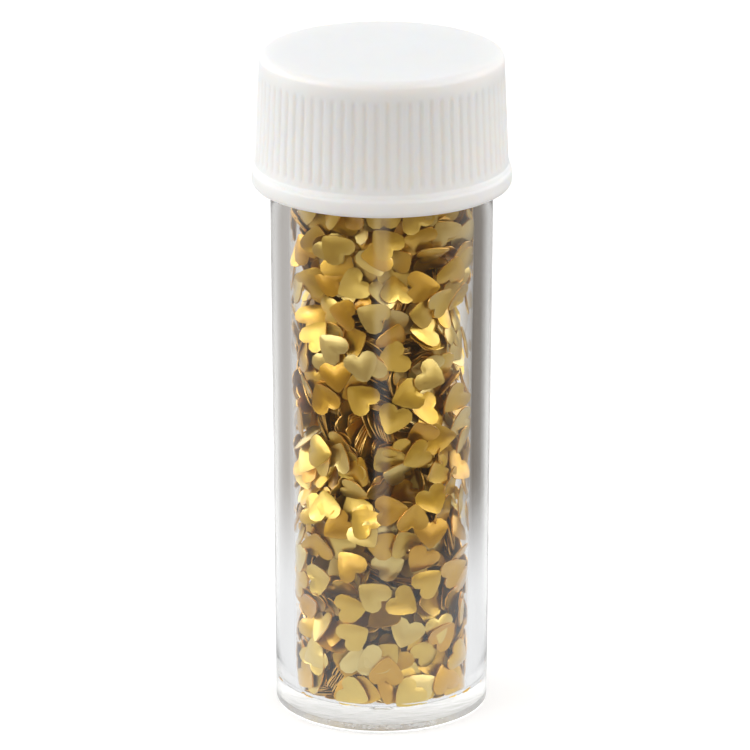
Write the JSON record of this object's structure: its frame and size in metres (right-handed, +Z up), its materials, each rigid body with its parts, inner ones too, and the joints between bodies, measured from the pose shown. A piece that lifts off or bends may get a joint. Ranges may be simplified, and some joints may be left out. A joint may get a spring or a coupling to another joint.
{
  "type": "screw-top sample vial",
  "caption": "Clear plastic tube vial with a ribbed white screw cap and foam liner, filled with small gold heart-shaped flakes.",
  "frame": {"origin": "middle of the foot, on the surface the vial stands on", "axes": "+Z up the tube towards the cap; +X is where both threads start; +Y completes the frame"},
  "size_m": [0.0234, 0.0234, 0.0615],
  "materials": {
    "clear_plastic": "clear styrene, gloss",
    "white_plastic": "white polypropylene, satin",
    "liner_foam": "closed-cell foam, matte",
    "gold_flake": "gold-metallised film, satin"
  },
  "bodies": {
    "vial": {"vial_body": "clear_plastic", "hearts_course_01": "gold_flake", "hearts_course_02": "gold_flake", "hearts_course_03": "gold_flake", "hearts_course_04": "gold_flake", "hearts_course_05": "gold_flake", "hearts_course_06": "gold_flake", "hearts_course_07": "gold_flake", "hearts_course_08": "gold_flake", "hearts_course_09": "gold_flake", "hearts_course_10": "gold_flake", "hearts_course_11": "gold_flake", "hearts_course_12": "gold_flake", "hearts_course_13": "gold_flake", "hearts_course_14": "gold_flake", "hearts_course_15": "gold_flake"},
    "liner": {"cap_liner": "liner_foam"},
    "cap": {"screw_cap": "white_plastic"}
  },
  "joints": [
    {"name": "cap_lift", "type": "slide", "parent": "vial", "child": "liner", "axis": [0, 0, 1], "range_m": [0, 0.01275]},
    {"name": "cap_turn", "type": "hinge", "parent": "liner", "child": "cap", "pos_m": [0, 0, 0.0602], "axis": [0, 0, 1], "range_deg": [0, 1440]}
  ],
  "couplings": [
    {"joint": "cap_lift", "follows": "cap_turn", "m_per_rad": 0.00050532}
  ]
}
